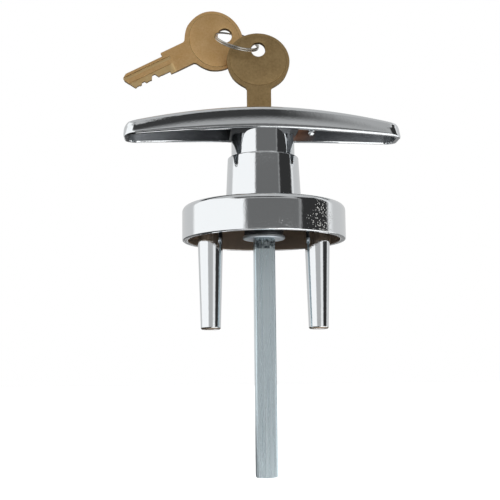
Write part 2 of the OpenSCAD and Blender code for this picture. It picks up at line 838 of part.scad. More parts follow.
// What is milled from one face of the blade along its cut edge, up to where the cutter lifts off
module milled_side() {
    long = blade_length + tip_length;
    translate([blade_w / 2 - milled_w, -shoulder_from_hole - long, -milled_depth]) {
        cube([2 * milled_w, long, 2 * milled_depth]);
        translate([0, long, milling_r])
            rotate([0, 90, 0])
                cylinder(r = milling_r, h = 2 * milled_w);
    }
}

// A key with its hole at the origin, flat in XZ
module key() color(brass_colour)
    rotate([90, 0, 0])
        difference() {
            union() {
                translate([0, 0, -key_t / 2])
                    linear_extrude(key_t)
                        key_outline();
                translate([0, 0, -key_t / 2 - bow_coin])
                    linear_extrude(key_t + 2 * bow_coin)
                        coined_face();
            }
            cylinder(d = key_hole_d, h = 3 * key_t, center = true);
            for (side = [-1, 1])
                translate([-blade_w / 4, -shoulder_from_hole - blade_length / 2, side * key_t / 2])
                    cube([groove_w, blade_length + 2 * tip_length, 2 * groove_depth], center = true);
            for (side = [0, 1])
                mirror([0, 0, side])
                    translate([0, 0, key_t / 2])
                        milled_side();
        }

module key_in_lock()
    translate(key_hole)
        rotate([0, 0, 180])
            key();

module spare_key()
    translate(key_hole + spare_from_key)
        rotate([0, spare_lean, 0])
            key();

module split_ring() color(steel_colour)
    translate(key_hole + ring_from_key)
        rotate([0, 0, ring_azimuth])
            rotate([ring_tilt, 0, 0])
                rotate([0, 0, ring_start])
                    translate([0, 0, -ring_pitch * ring_turns / 2])
                        wound_wire(ring_d / 2, ring_wire, ring_pitch, ring_turns, coil_rings);

echo(
    ring_gap = least_gap(wire_path(ring_d / 2, ring_pitch, ring_turns), ring_wire),
    spring_gap = least_gap(wire_path(spring_d / 2, spring_pitch, spring_turns), spring_wire)
);

rose();
handle();
square_shaft();
shaft_pin();
shaft_washer();
retaining_ring();
spring_washer();
lock_plug();
plug_retaining_pin();
locking_bolt();
wafer(0);  // wafer_1
wafer(1);  // wafer_2
wafer(2);  // wafer_3
wafer(3);  // wafer_4
wafer(4);  // wafer_5
wafer_spring(0);  // wafer_spring_1
wafer_spring(1);  // wafer_spring_2
wafer_spring(2);  // wafer_spring_3
wafer_spring(3);  // wafer_spring_4
wafer_spring(4);  // wafer_spring_5
key_in_lock();
spare_key();
split_ring();
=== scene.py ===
"""Looks of a garage door T handle lock: castings, shaft, lock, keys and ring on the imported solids."""

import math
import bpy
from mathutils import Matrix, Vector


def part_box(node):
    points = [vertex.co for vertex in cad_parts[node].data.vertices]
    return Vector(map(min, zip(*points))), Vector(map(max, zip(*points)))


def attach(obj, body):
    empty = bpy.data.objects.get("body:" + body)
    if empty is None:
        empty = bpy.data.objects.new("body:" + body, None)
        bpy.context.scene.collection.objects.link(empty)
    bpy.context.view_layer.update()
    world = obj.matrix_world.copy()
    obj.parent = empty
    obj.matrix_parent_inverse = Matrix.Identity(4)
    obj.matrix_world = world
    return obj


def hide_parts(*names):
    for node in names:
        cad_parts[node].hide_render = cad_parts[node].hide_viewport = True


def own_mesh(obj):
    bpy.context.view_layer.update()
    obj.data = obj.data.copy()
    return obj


bl_info = {
    "name": "Garage door T handle lock",
    "version": (1, 0, 0),
    "blender": (4, 5, 0),
    "location": "3D View > Sidebar > T handle",
    "description": "Chrome T handle lock with rose, posts, square shaft, two keys and a split ring",
    "category": "Object",
}

import bmesh
import bpy
from bpy.props import FloatProperty, FloatVectorProperty, PointerProperty
from mathutils import Matrix, Vector

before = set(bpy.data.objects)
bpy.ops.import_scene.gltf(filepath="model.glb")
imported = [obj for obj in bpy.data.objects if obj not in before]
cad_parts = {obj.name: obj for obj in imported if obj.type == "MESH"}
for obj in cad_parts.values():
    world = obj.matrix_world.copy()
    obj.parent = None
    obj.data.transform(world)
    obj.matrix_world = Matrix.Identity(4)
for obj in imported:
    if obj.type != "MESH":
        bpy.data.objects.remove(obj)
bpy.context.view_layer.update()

MM = 0.001
AXIS = Vector((0, 0, 1))


# Colours and nodes


def linear(code):
    """Linear RGBA of an sRGB hex colour."""
    parts = [int(code[i : i + 2], 16) / 255 for i in (1, 3, 5)]
    return [p / 12.92 if p <= 0.04045 else ((p + 0.055) / 1.055) ** 2.4 for p in parts] + [1]


def per_mm(size):
    """Texture scale whose pattern is size millimetres wide on Object coordinates."""
    return 1 / (size * MM)


def feed(tree, node, inputs):
    """Sets a node's inputs, or links them to a socket or to the first output in use of another node."""
    for key, value in inputs.items():
        if isinstance(value, bpy.types.Node):
            value = next(socket for socket in value.outputs if socket.enabled)
        if isinstance(value, bpy.types.NodeSocket):
            tree.links.new(value, node.inputs[key])
        else:
            node.inputs[key].default_value = value


def add_node(tree, kind, inputs=None, **settings):
    """Adds a shader node with its settings, its values and its links."""
    node = tree.nodes.new("ShaderNode" + kind)
    for key, value in settings.items():
        setattr(node, key, value)
    feed(tree, node, inputs or {})
    return node


def start_material(name):
    """A new material with its tree, its shader and its Object coordinates."""
    material = bpy.data.materials.new(name)
    material.use_nodes = True
    tree = material.node_tree
    place = add_node(tree, "TexCoord").outputs["Object"]
    return material, tree, tree.nodes["Principled BSDF"], place


# Materials


def chrome_plate():
    """Bright chrome plate on a polished zinc casting: a mirror with fine orange peel and patches of pits."""
    name = "Bright chrome plate"
    if name in bpy.data.materials:
        return bpy.data.materials[name]
    finish = bpy.context.scene.thandle_finish
    material, tree, shader, place = start_material(name)
    waves = add_node(tree, "TexNoise", {"Vector": place, "Scale": per_mm(4), "Detail": 1})
    # The peel is coarser than on the real plate, so that it still shows at this size.
    peel = add_node(tree, "TexNoise", {"Vector": place, "Scale": per_mm(0.7), "Detail": 2})
    grit = add_node(tree, "TexVoronoi", {"Vector": place, "Scale": per_mm(finish.pit_spacing / MM)})
    clusters = add_node(tree, "TexNoise", {"Vector": place, "Scale": per_mm(9), "Detail": 2})
    # Pits crowd round the worn place and are few elsewhere.
    reach = add_node(tree, "VectorMath", {0: place, 1: finish.worn_place}, operation="DISTANCE")
    worn = add_node(
        tree,
        "MapRange",
        {"Value": reach, "From Min": 3 * MM, "From Max": 10 * MM, "To Min": 0.36, "To Max": -0.08},
    )
    rate = add_node(tree, "Math", {0: clusters, 1: worn}, operation="ADD")
    where = add_node(tree, "MapRange", {"Value": rate, "From Min": 0.6, "From Max": 0.74})
    hole = add_node(
        tree, "MapRange", {"Value": grit, "From Min": 0.28, "From Max": 0.42, "To Min": 1, "To Max": 0}
    )
    # About half of the cells have a pit.
    some = add_node(tree, "Math", {0: grit.outputs["Color"], 1: 0.5}, operation="GREATER_THAN")
    chosen = add_node(tree, "Math", {0: hole, 1: some}, operation="MULTIPLY")
    pit = add_node(tree, "Math", {0: chosen, 1: where}, operation="MULTIPLY")
    # The pits are rougher than the plate and a little paler: partly worn metal, partly a painted highlight.
    tint = add_node(
        tree, "Mix", {"Factor": pit, "A": finish.chrome, "B": linear("#F2F2EE")}, data_type="RGBA"
    )
    rough = add_node(tree, "MapRange", {"Value": pit, "To Min": finish.chrome_roughness, "To Max": 0.7})
    relief = add_node(tree, "Bump", {"Height": waves, "Strength": 1, "Distance": 0.02 * MM})
    for height, depth, sunk in ((peel, 0.013, False), (pit, 0.02, True)):
        layer = {"Height": height, "Strength": 1, "Distance": depth * MM, "Normal": relief}
        relief = add_node(tree, "Bump", layer, invert=sunk)
    feed(tree, shader, {"Metallic": 1, "Base Color": tint, "Roughness": rough, "Normal": relief})
    return material


def raw_casting(name, dark, light, shade_ramps, rust=None, rust_reach=None):
    """Inside of a casting: zinc as cast with a thin, brownish flash of plating, dull and grainy.

    It is painted darker in the middle, as painted shade, and lighter towards its ends, each given as two
    distances along X and a share. Rust has run from the steel inside where a place and its reach are given.
    Distances are in millimetres.
    """
    material, tree, shader, place = start_material(name)
    grain = add_node(tree, "TexNoise", {"Vector": place, "Scale": per_mm(0.8), "Detail": 4})
    stains = add_node(tree, "TexNoise", {"Vector": place, "Scale": per_mm(14), "Detail": 3})
    across = add_node(tree, "SeparateXYZ", {"Vector": place}).outputs["X"]
    share = add_node(tree, "MapRange", {"Value": stains, "To Min": -0.1, "To Max": 0.4})
    # Painted shade: the tone lightens along X towards each end, so the middle stays darker.
    for near, far, gain in shade_ramps:
        out_of_shade = add_node(
            tree,
            "MapRange",
            {"Value": across, "From Min": near * MM, "From Max": far * MM, "To Max": gain},
        )
        share = add_node(tree, "Math", {0: share, 1: out_of_shade}, operation="ADD", use_clamp=True)
    tint = add_node(
        tree, "Mix", {"Factor": share, "A": linear(dark), "B": linear(light)}, data_type="RGBA"
    )
    if rust:
        middle = [c * MM for c in rust]
        reach = add_node(tree, "VectorMath", {0: place, 1: middle}, operation="DISTANCE")
        rusty = add_node(tree, "MapRange", {"Value": reach, "From Min": rust_reach * MM, "From Max": 0})
        tint = add_node(
            tree, "Mix", {"Factor": rusty, "A": tint, "B": linear("#8A5A38")}, data_type="RGBA"
        )
    rough = add_node(tree, "MapRange", {"Value": grain, "To Min": 0.3, "To Max": 0.55})
    bump = add_node(tree, "Bump", {"Height": grain, "Strength": 1, "Distance": 0.04 * MM})
    feed(tree, shader, {"Metallic": 0.85, "Base Color": tint, "Roughness": rough, "Normal": bump})
    return material


def drawn_zinc():
    """Clear zinc plate on cold-drawn bar: blue-grey and satin, with fine lines along the drawing direction,
    and painted shade, dark and mottled, on the end inside the rose."""
    material, tree, shader, place = start_material("Clear zinc plate on drawn steel")
    along = add_node(tree, "Mapping", {"Vector": place, "Scale": (per_mm(0.5), per_mm(0.5), per_mm(45))})
    lines = add_node(tree, "TexNoise", {"Vector": along, "Scale": 1, "Detail": 3})
    clouds = add_node(tree, "TexNoise", {"Vector": place, "Scale": per_mm(0.9), "Detail": 3})
    streaks = add_node(
        tree, "Mix", {"Factor": lines, "A": linear("#BCD4DE"), "B": linear("#F2FAFD")}, data_type="RGBA"
    )
    height = add_node(tree, "SeparateXYZ", {"Vector": place}).outputs["Z"]
    # Painted shade: the end inside the rose is darkened in mottled patches from this height up.
    out_of_shade, fully_shaded = -3.6 * MM, -3.1 * MM
    inner = add_node(tree, "MapRange", {"Value": height, "From Min": out_of_shade, "From Max": fully_shaded})
    blotches = add_node(tree, "MapRange", {"Value": clouds, "From Min": 0.3, "From Max": 0.62})
    painted_shade = add_node(tree, "Math", {0: inner, 1: blotches}, operation="MULTIPLY")
    tint = add_node(
        tree, "Mix", {"Factor": painted_shade, "A": streaks, "B": linear("#566268")}, data_type="RGBA"
    )
    rough = add_node(tree, "MapRange", {"Value": lines, "To Min": 0.2, "To Max": 0.36})
    bump = add_node(tree, "Bump", {"Height": lines, "Strength": 1, "Distance": 0.01 * MM})
    feed(tree, shader, {"Metallic": 1, "Base Color": tint, "Roughness": rough, "Normal": bump})
    return material


def key_brass(name, dark, light, lean):
    """Stamped key brass, tumbled dull: warm, with fine brush marks along the key and cloudy tarnish."""
    material, tree, shader, place = start_material(name)
    turned = add_node(tree, "Mapping", {"Vector": place, "Rotation": (0, -lean, 0)})
    stretched = add_node(
        tree, "Mapping", {"Vector": turned, "Scale": (per_mm(0.3), per_mm(0.3), per_mm(9))}
    )
    marks = add_node(tree, "TexNoise", {"Vector": stretched, "Scale": 1, "Detail": 3})
    tarnish = add_node(tree, "TexNoise", {"Vector": place, "Scale": per_mm(6), "Detail": 4})
    # The specks of the tumbling are coarser than on the real keys, so that they still show at this size.
    specks = add_node(tree, "TexNoise", {"Vector": place, "Scale": per_mm(0.8), "Detail": 2})
    mottled = add_node(tree, "Math", {0: specks, 1: 1.1, 2: -0.55}, operation="MULTIPLY_ADD")
    share = add_node(tree, "Math", {0: tarnish, 1: mottled}, operation="ADD", use_clamp=True)
    tint = add_node(
        tree, "Mix", {"Factor": share, "A": linear(dark), "B": linear(light)}, data_type="RGBA"
    )
    rough = add_node(tree, "MapRange", {"Value": marks, "To Min": 0.34, "To Max": 0.52})
    bump = add_node(tree, "Bump", {"Height": marks, "Strength": 1, "Distance": 0.012 * MM})
    feed(tree, shader, {"Metallic": 1, "Base Color": tint, "Roughness": rough, "Normal": bump})
    return material


def plain_metal(name, dark, light, low, high, cloud_mm):
    """Turned, stamped or drawn metal without marks that show: a soft cloud of tone and shine."""
    material, tree, shader, place = start_material(name)
    cloud = add_node(tree, "TexNoise", {"Vector": place, "Scale": per_mm(cloud_mm), "Detail": 3})
    tint = add_node(
        tree, "Mix", {"Factor": cloud, "A": linear(dark), "B": linear(light)}, data_type="RGBA"
    )
    rough = add_node(tree, "MapRange", {"Value": cloud, "To Min": low, "To Max": high})
    feed(tree, shader, {"Metallic": 1, "Base Color": tint, "Roughness": rough})
    return material


# Shapes


def arc(x, z, r, start, end, steps=6):
    """Points of an arc in a radius and height plane, angles in degrees."""
    turns = [math.radians(start + (end - start) * i / steps) for i in range(steps + 1)]
    return [(x + r * math.cos(a), z + r * math.sin(a)) for a in turns]


def bowed(start, end, bend, steps=6):
    """Points between two ends of an outline, on an arc that bends outwards by an angle in degrees."""
    run, rise = end[0] - start[0], end[1] - start[1]
    long = math.hypot(run, rise)
    out = Vector((rise, -run)) / long
    along = Vector((run, rise)) / long
    bend = math.radians(bend)
    r = long / 2 / math.sin(bend)
    middle = (Vector(start) + Vector(end)) / 2 - out * r * math.cos(bend)
    turns = [bend * (2 * i / steps - 1) for i in range(1, steps)]
    return [tuple(middle + r * (out * math.cos(a) + along * math.sin(a))) for a in turns]


def loop(bm, points):
    """A closed loop of edges through points."""
    verts = [bm.verts.new(p) for p in points]
    return [bm.edges.new((a, b)) for a, b in zip(verts, verts[1:] + verts[:1])]


def braced(outline, reach=0.12, least=1.2):
    """A closed outline with a point near both ends of each long straight, so that its wall shades flat."""
    points = []
    for start, end in zip(outline, outline[1:] + outline[:1]):
        points.append(start)
        long = math.dist(start, end)
        if long > least:
            for part in (reach / long, 1 - reach / long):
                points.append((start[0] + (end[0] - start[0]) * part, start[1] + (end[1] - start[1]) * part))
    return points


def spun(bm, outline, steps, centre=(0, 0)):
    """Spins a closed outline of radius and height, in millimetres, about an upright axis."""
    x, y = (c * MM for c in centre)
    edges = loop(bm, [(x + r * MM, y, z * MM) for r, z in braced(outline)])
    verts = list({v for e in edges for v in e.verts})
    bmesh.ops.spin(
        bm, geom=verts + edges, cent=(x, y, 0), axis=AXIS, angle=2 * math.pi, steps=steps, use_merge=True
    )


def wound(bm, wire_r, r, pitch, turns, steps, sides):
    """Round wire wound about an upright axis, with the middle of its height at the origin."""
    wire = bmesh.ops.create_circle(
        bm,
        cap_ends=True,
        radius=wire_r,
        segments=sides,
        matrix=Matrix.Translation((r, 0, -pitch * turns / 2)) @ Matrix.Rotation(math.pi / 2, 4, "X"),
    )["verts"]
    bmesh.ops.spin(
        bm,
        geom=wire[0].link_faces[:],
        cent=(0, 0, 0),
        axis=AXIS,
        dvec=(0, 0, pitch * turns / steps),
        angle=2 * math.pi * turns,
        steps=steps,
    )


def loft(bm, rings):
    """A closed skin over rings of points, made by drawing the first ring out to each next one."""
    place = bm.verts.layers.int.get("place") or bm.verts.layers.int.new("place")
    edges = loop(bm, rings[0])
    first = list(edges)
    verts = [e.verts[0] for e in edges]
    for number, vert in enumerate(verts):
        vert[place] = number
    for ring in rings[1:]:
        drawn = bmesh.ops.extrude_edge_only(bm, edges=edges)["geom"]
        edges = [g for g in drawn if isinstance(g, bmesh.types.BMEdge)]
        for vert in (g for g in drawn if isinstance(g, bmesh.types.BMVert)):
            vert.co = ring[vert[place]]
    bmesh.ops.contextual_create(bm, geom=first)
    bmesh.ops.contextual_create(bm, geom=edges)


def close(bm):
    """Merges doubles and turns every face outwards."""
    bmesh.ops.remove_doubles(bm, verts=bm.verts, dist=0.0005 * MM)
    bmesh.ops.recalc_face_normals(bm, faces=bm.faces)


def soften(bm, width, segments=2, angle=45):
    """Rounds every edge that is sharper than the angle."""
    edges = [e for e in bm.edges if len(e.link_faces) == 2 and e.calc_face_angle() > math.radians(angle)]
    bmesh.ops.bevel(
        bm,
        geom=edges,
        offset=width,
        segments=segments,
        profile=0.5,
        affect="EDGES",
        clamp_overlap=True,
        material=-1,
    )


def block(bm, middle, size):
    """A box, with its middle and its size in millimetres."""
    move = Matrix.Translation(Vector(middle) * MM) @ Matrix.Diagonal((*(Vector(size) * MM), 1))
    bmesh.ops.create_cube(bm, size=1, matrix=move)


def rod(bm, r, long, segments, move):
    """A round bar, with its radius and length in millimetres."""
    bmesh.ops.create_cone(
        bm, cap_ends=True, segments=segments, radius1=r * MM, radius2=r * MM, depth=long * MM, matrix=move
    )


def as_object(bm, name):
    """Makes an object at the origin of a bmesh and frees it."""
    mesh = bpy.data.meshes.new(name)
    bm.to_mesh(mesh)
    bm.free()
    piece = bpy.data.objects.new(name, mesh)
    bpy.context.scene.collection.objects.link(piece)
    return piece


def carved(bm, name, cutter_bm, result=None):
    """The first solid with the second taken away, in a new bmesh or added to one that is given."""
    body, cutter = as_object(bm, name), as_object(cutter_bm, name + "_cutter")
    cut = body.modifiers.new("cut", "BOOLEAN")
    cut.operation, cut.solver, cut.object, cut.use_self = "DIFFERENCE", "EXACT", cutter, True
    bpy.context.view_layer.update()
    mesh = bpy.data.meshes.new_from_object(body.evaluated_get(bpy.context.evaluated_depsgraph_get()))
    result = result or bmesh.new()
    result.from_mesh(mesh)
    for piece in (body, cutter):
        bpy.data.objects.remove(piece)
    bpy.data.meshes.remove(mesh)
    return result


def place_piece(bm, name, body, node, materials, smooth_angle=38, inside=None):
    """Turns a bmesh into the piece that stands for a CAD node and rides on its body."""
    if not bm.faces:
        raise RuntimeError(f"{name} has no faces")
    for face in bm.faces:
        face.smooth = True
        face.material_index = inside(face.calc_center_median() / MM, face.normal) if inside else 0
    piece = as_object(bm, name)
    piece.data.set_sharp_from_angle(angle=math.radians(smooth_angle))
    for material in materials:
        piece.data.materials.append(material)
    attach(piece, body)
    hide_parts(node)
    return piece


# Settings


class RoseSettings(bpy.types.PropertyGroup):
    """Sizes of the rose with its neck and posts"""

    diameter: FloatProperty(
        name="Rose diameter", description="Across the rim of the rose", default=63.5 * MM, unit="LENGTH"
    )
    height: FloatProperty(
        name="Cup height", description="From the rim to the top of the cup", default=13.5 * MM, unit="LENGTH"
    )
    edge: FloatProperty(
        name="Edge radius", description="Radius of the cup's upper edge", default=2.4 * MM, unit="LENGTH"
    )
    neck_foot: FloatProperty(
        name="Neck foot diameter", description="Across the neck at its foot", default=29.5 * MM, unit="LENGTH"
    )
    neck_top: FloatProperty(
        name="Neck top diameter",
        description="Across the neck below its bevel",
        default=27.8 * MM,
        unit="LENGTH",
    )
    neck_height: FloatProperty(
        name="Neck height",
        description="From the cup to the top of the neck",
        default=19.2 * MM,
        unit="LENGTH",
    )
    post_spacing: FloatProperty(
        name="Post spacing", description="Between the centres of the posts", default=41.7 * MM, unit="LENGTH"
    )
    post_length: FloatProperty(
        name="Post length", description="Reach of the posts behind the rim", default=34.3 * MM, unit="LENGTH"
    )


class HandleSettings(bpy.types.PropertyGroup):
    """Sizes of the T-bar and its stem"""

    length: FloatProperty(
        name="T-bar length", description="From end to end of the T-bar", default=109 * MM, unit="LENGTH"
    )
    mid_depth: FloatProperty(
        name="Middle depth", description="Front to back at the hub", default=25.4 * MM, unit="LENGTH"
    )
    end_depth: FloatProperty(
        name="End depth", description="Front to back near the ends", default=15 * MM, unit="LENGTH"
    )
    mid_height: FloatProperty(
        name="Middle height", description="Height of the T-bar at the hub", default=9.2 * MM, unit="LENGTH"
    )
    stem: FloatProperty(
        name="Stem diameter", description="Across the round stem", default=24.8 * MM, unit="LENGTH"
    )


class KeySettings(bpy.types.PropertyGroup):
    """Sizes of the keys and their split ring"""

    thickness: FloatProperty(
        name="Key thickness", description="Thickness of the key blank", default=1.9 * MM, unit="LENGTH"
    )
    bow_width: FloatProperty(
        name="Bow width", description="Across the round bow", default=25 * MM, unit="LENGTH"
    )
    bow_height: FloatProperty(
        name="Bow height", description="Height of the round bow", default=22.6 * MM, unit="LENGTH"
    )
    ring_diameter: FloatProperty(
        name="Ring diameter", description="Mean diameter of the split ring", default=17.78 * MM, unit="LENGTH"
    )
    ring_wire: FloatProperty(
        name="Ring wire", description="Thickness of the split ring's wire", default=0.7 * MM, unit="LENGTH"
    )


class FinishSettings(bpy.types.PropertyGroup):
    """Finish of the chrome plate"""

    chrome: FloatVectorProperty(
        name="Chrome",
        description="Colour of the chrome plate",
        default=linear("#DFE2E4"),
        subtype="COLOR",
        size=4,
        min=0,
        max=1,
    )
    chrome_roughness: FloatProperty(
        name="Chrome roughness",
        description="Roughness of the bright plate",
        default=0.06,
        min=0,
        max=1,
        subtype="FACTOR",
    )
    pit_spacing: FloatProperty(
        name="Pit spacing", description="Distance between pits in the plate", default=0.55 * MM, unit="LENGTH"
    )
    worn_place: FloatVectorProperty(
        name="Worn place",
        description="Middle of the pitted patch on the rose",
        default=(18 * MM, -26 * MM, 6 * MM),
        subtype="TRANSLATION",
        unit="LENGTH",
    )


class StageSettings(bpy.types.PropertyGroup):
    """Camera, floor, cards and light"""

    camera_place: FloatVectorProperty(
        name="Camera",
        description="Place of the camera",
        default=(-31.904 * MM, -361.38 * MM, -49.282 * MM),
        subtype="TRANSLATION",
        unit="LENGTH",
    )
    camera_turn: FloatVectorProperty(
        name="Camera turn",
        description="Yaw, upward pitch and roll of the camera",
        default=(math.radians(4.179), math.radians(7.203), math.radians(0.579)),
        subtype="EULER",
        unit="ROTATION",
    )
    lens: FloatProperty(
        name="Lens", description="Focal length in millimetres", default=67.697, min=1, unit="CAMERA"
    )
    floor_drop: FloatProperty(
        name="Floor", description="Depth of the floor below the rim", default=160 * MM, unit="LENGTH"
    )
    card_distance: FloatProperty(
        name="Card distance", description="Distance of the cards from the axis", default=1.5, unit="LENGTH"
    )
    daylight: FloatProperty(
        name="Daylight", description="Strength of the even light from all round", default=0.5, min=0
    )


# Sizes that several pieces or functions share, in millimetres


CUP_WALL = 2.2
CUP_ROOF = 1.7
# Radius of a post in the plane of the rim.
POST_FOOT = 4.9
# Height of the T-bar's underside at its middle.
BAR_BASE = 42
BAR_WALL = 2
BAR_ROOF = 2.2
# Half the length of the solid hub between the hollow arms.
HUB = 13
# Radii of the plug's bore and of a key's hole.
PLUG_BORE = 8.25
KEY_HOLE = 2.9
# The top of a key's bow above its hole, and its shoulder below it.
BOW_TOP = 6.7
KEY_SHOULDER = 26.5
# How far a face may stand off a wall and still belong to it.
SKIN = 0.1

# Places of both keys' holes and of the ring's middle, in metres.
UPRIGHT_PLACE = Vector((-1.5 * MM, 0, 76.9 * MM))
HANGING_PLACE = UPRIGHT_PLACE + Vector((-12.98 * MM, 6 * MM, 7.71 * MM))
RING_PLACE = UPRIGHT_PLACE + Vector((-8.39 * MM, 1.26 * MM, 4.01 * MM))


# Rose


def rose_cup(s):
    """Cup and neck of the rose, with four notches in the neck's bore that the locking bolt is thrown into."""
    radius, top, edge = s.diameter / 2 / MM, s.height / MM, s.edge / MM
    foot, neck = s.neck_foot / 2 / MM, s.neck_top / 2 / MM
    neck_z = top + s.neck_height / MM
    bore, fillet, rim, inner_rim, inner_edge, bevel = 10.45, 1.2, 0.4, 0.4, 3, 0.5
    inside, roof = radius - CUP_WALL, top - CUP_ROOF
    outline = (
        arc(radius - rim, rim, rim, 270, 360, 5)
        + arc(radius - edge, top - edge, edge, 0, 90, 14)
        + arc(foot + fillet, top + fillet, fillet, 270, 180, 8)
        + arc(neck - bevel, neck_z - bevel, bevel, 3, 90, 6)
        + [(bore, neck_z), (bore, roof)]
        + arc(inside - inner_edge, roof - inner_edge, inner_edge, 90, 0, 8)
        + arc(inside + inner_rim, inner_rim, inner_rim, 180, 270, 4)
    )
    cup = bmesh.new()
    spun(cup, outline, 160)
    close(cup)
    notch_out, notch_in, notch_half, low, high = 13, 9, 4.3, 21.5, 26.1
    spread = math.degrees(math.asin(notch_half / notch_out))
    notch = [(notch_in, -notch_half)] + arc(0, 0, notch_out, -spread, spread) + [(notch_in, notch_half)]
    notches = bmesh.new()
    for quarter in range(4):
        turn = Matrix.Rotation(math.radians(90 * quarter), 3, "Z")
        loft(notches, [[turn @ Vector((x, y, z)) * MM for x, y in notch] for z in (low, high)])
    close(notches)
    return carved(cup, "cup", notches)


def add_posts(bm, s):
    """The two tapered posts under the rose, each with a drilled hole in its end."""
    half, reach = s.post_spacing / 2 / MM, s.post_length / MM
    end, end_round, hole, depth, drill_point, lead = 3.85, 0.9, 2.1, 18, 1.2, 0.4
    top = s.height / MM - CUP_ROOF / 2
    post = (
        [(0, depth - reach + drill_point), (hole, depth - reach), (hole, lead - reach), (hole + lead, -reach)]
        + arc(end - end_round, end_round - reach, end_round, 270, 360, 6)
        + [(POST_FOOT + (POST_FOOT - end) / reach * top, top), (0, top)]
    )
    for side in (-1, 1):
        spun(bm, post, 64, (side * half, 0))


class THANDLE_OT_rose(bpy.types.Operator):
    """Makes the chrome rose: cup, neck and two posts with threaded holes"""

    bl_idname = "thandle.rose"
    bl_label = "Rose"

    def execute(self, context):
        s = context.scene.thandle_rose
        bm = rose_cup(s)
        add_posts(bm, s)
        close(bm)
        # Painted shade: the inside is darker in the middle and lighter towards the ends along X.
        ends = ((-14, -36, 0.2), (14, 36, 0.2))
        raw = raw_casting("As-cast zinc with thin plating", "#75695E", "#BFAA93", ends)
        half, reach = s.post_spacing / 2 / MM, s.post_length / MM
        inside, roof = s.diameter / 2 / MM - CUP_WALL, s.height / MM - CUP_ROOF
        post_gap, dark_tip = 0.5, 0.7

        def cavity(p, normal):
            # The slanting, downward-facing faces at a post's end take the darker inside finish.
            if p.z < dark_tip - reach and -0.85 < normal.z < -0.15:
                return 1
            clear_of_post = math.hypot(abs(p.x) - half, p.y) > POST_FOOT + post_gap
            return p.z < roof + SKIN and p.xy.length < inside + SKIN and clear_of_post

        place_piece(
            bm, "rose_casting", "rose", "rose", [chrome_plate(), raw], inside=cavity
        )
        return {"FINISHED"}


# Handle


def bar_section(s, x):
    """Half depth, underside and top of the T-bar at a distance from its middle, in millimetres."""
    low_drop, top_drop, taper = 1.8, 5.4, 1.3
    part = abs(x) / (s.length / 2 / MM)
    mid, end, tall = s.mid_depth / MM, s.end_depth / MM, s.mid_height / MM
    depth = (mid - (mid - end) * part**taper) / 2
    return depth, BAR_BASE - low_drop * part**2, BAR_BASE + tall - top_drop * part**2


def bar_rings(s):
    """Rings of points along the T-bar: its outside, its lips and the hollow under each arm."""
    half = s.length / 2 / MM
    far = half - BAR_WALL
    corner, nose, draft, crown, lip_round, top_round = 5.2, 2.6, 1.1, 0.5, 0.8, 2.2
    bend = corner - BAR_WALL
    chamfer_in, chamfer_up, step, side_bow = 0.45, 0.5, 0.02, 8

    def round_off(d, r):
        return 0 if d >= r else r - math.sqrt(max(0, r * r - (r - d) ** 2))

    def ring(x, hollow):
        inside = half - abs(x)
        depth, low, high = bar_section(s, x)
        foot = depth - round_off(inside, corner)
        roof = high - BAR_ROOF
        low, high = low + round_off(inside, lip_round), high - round_off(inside, nose)
        top_r, lip_r = min(top_round, (high - low) / 2), min(lip_round, (high - low) / 4)
        flat = foot - draft - top_r
        lip = arc(foot - lip_r, low + lip_r, lip_r, -90, -6, 5)
        shoulder = arc(flat, high - top_r, top_r, 14, 84, 8)
        over = [(flat * (1 - i / 5), high + crown * (1 - (1 - i / 5) ** 2)) for i in range(1, 5)]
        right = lip + bowed(lip[-1], shoulder[0], side_bow) + shoulder + over
        # Half widths of the hollow above its chamfer, at its roof and at its mouth, kept inside the lips.
        wide = max(0.6, depth - BAR_WALL - round_off(far - abs(x), bend)) if hollow else foot - BAR_WALL
        wide = max(0.4, min(wide, foot - lip_r - 0.2))
        slim = max(0.3, wide - draft - 0.4) if hollow else wide * 0.9
        mouth = min(wide + chamfer_in, foot - lip_r - 0.05) if hollow else wide
        lift = (roof - low) if hollow else 0
        under = [
            (mouth, low),
            (wide, low + min(lift, chamfer_up)),
            ((wide + slim) / 2, low + lift * 0.6),
            (slim, low + lift * 0.9),
            (slim * 0.9, low + lift),
        ]
        left = [(-y, z) for y, z in reversed(right)] + [(-y, z) for y, z in under]
        outline = right + [(0, high + crown)] + left + under[::-1]
        return [(x * MM, y * MM, z * MM) for y, z in outline]

    # The sections lie closer together where the hollow and the end turn in.
    run = far - bend
    eased = [math.sin(math.radians(90 * i / 7)) for i in range(8)]
    places = [(x, False) for x in (0, 3, 6, 9, 11, 12.4, HUB)]
    places += [(HUB + step + (run - HUB) * i / 22, True) for i in range(23)]
    places += [(run + bend * part, True) for part in eased[1:]]
    places += [(far + step + (half - far - step) * part, False) for part in eased]
    mirrored = [ring(-x, hollow) for x, hollow in reversed(places[1:])]
    return mirrored + [ring(x, hollow) for x, hollow in places]


def bored_bar(s):
    """The T-bar with its hollow arms and the bore for the plug."""
    bar = bmesh.new()
    loft(bar, bar_rings(s))
    close(bar)
    # A narrow border inside each end face keeps the face itself flat to the eye.
    border = 0.2 * MM
    ends = [f for f in bar.faces if abs(f.normal.x) > 0.999 and len(f.verts) > 8]
    bmesh.ops.inset_region(bar, faces=ends, thickness=border)
    bore, bore_middle, bore_depth = bmesh.new(), 50 * MM, 20
    rod(bore, PLUG_BORE, bore_depth, 96, Matrix.Translation((0, 0, bore_middle)))
    return carved(bar, "bar", bore)


